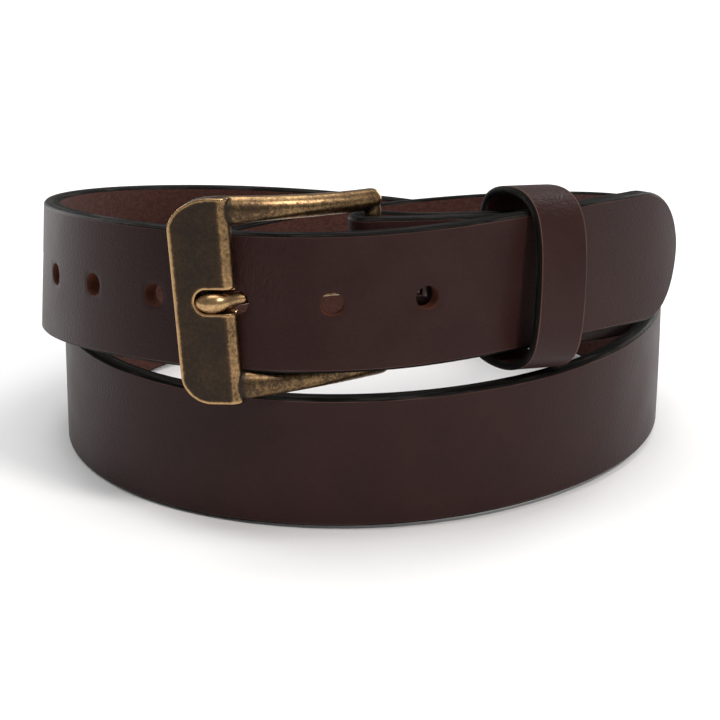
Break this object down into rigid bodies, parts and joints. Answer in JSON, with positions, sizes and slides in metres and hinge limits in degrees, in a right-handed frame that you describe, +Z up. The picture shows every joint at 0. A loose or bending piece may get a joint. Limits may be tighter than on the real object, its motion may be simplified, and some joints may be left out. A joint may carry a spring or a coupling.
{
  "type": "leather belt",
  "caption": "Coiled, buckled leather dress belt: folded strap end on a bar buckle with swinging prong, sliding keeper loop and punched holes.",
  "frame": {"origin": "middle of the coiled belt's bounding box, on the surface it stands on", "axes": "+Z up across the strap's width, -Y towards the side that the buckle's face looks to, +X along the strap from the buckle to the keeper"},
  "size_m": [0.186, 0.1964, 0.0975],
  "materials": {
    "strap_leather": "smooth dyed full-grain leather with dark burnished edges",
    "antique_brass": "antiqued, darkened in the fields and worn bright on the edges",
    "prong_brass": "antiqued, worn bright",
    "keeper_leather": "smooth dyed full-grain leather with dark burnished edges",
    "staple_wire": "plain wire",
    "post_brass": "antiqued",
    "screw_brass": "antiqued"
  },
  "bodies": {
    "strap_body": {"strap": "strap_leather", "front_post": "post_brass", "front_screw": "screw_brass", "rear_post": "post_brass", "rear_screw": "screw_brass"},
    "buckle": {"buckle_frame": "antique_brass"},
    "prong": {"prong": "prong_brass"},
    "keeper": {"keeper": "keeper_leather", "keeper_staples": "staple_wire"}
  },
  "joints": [
    {"name": "buckle_swing", "type": "hinge", "parent": "strap_body", "child": "buckle", "pos_m": [0.0057, -0.07824, 0.06926], "axis": [-0.0521, 0.0652, 0.9965], "range_deg": [0, 1.2]},
    {"name": "prong_lift", "type": "hinge", "parent": "buckle", "child": "prong", "pos_m": [0.0057, -0.07824, 0.06926], "axis": [-0.0521, 0.0652, 0.9965], "range_deg": [0, 0.8]},
    {"name": "keeper_slide", "type": "slide", "parent": "strap_body", "child": "keeper", "axis": [0.804, 0.5807, -0.128], "range_m": [-0.0025, 0.0025]}
  ]
}
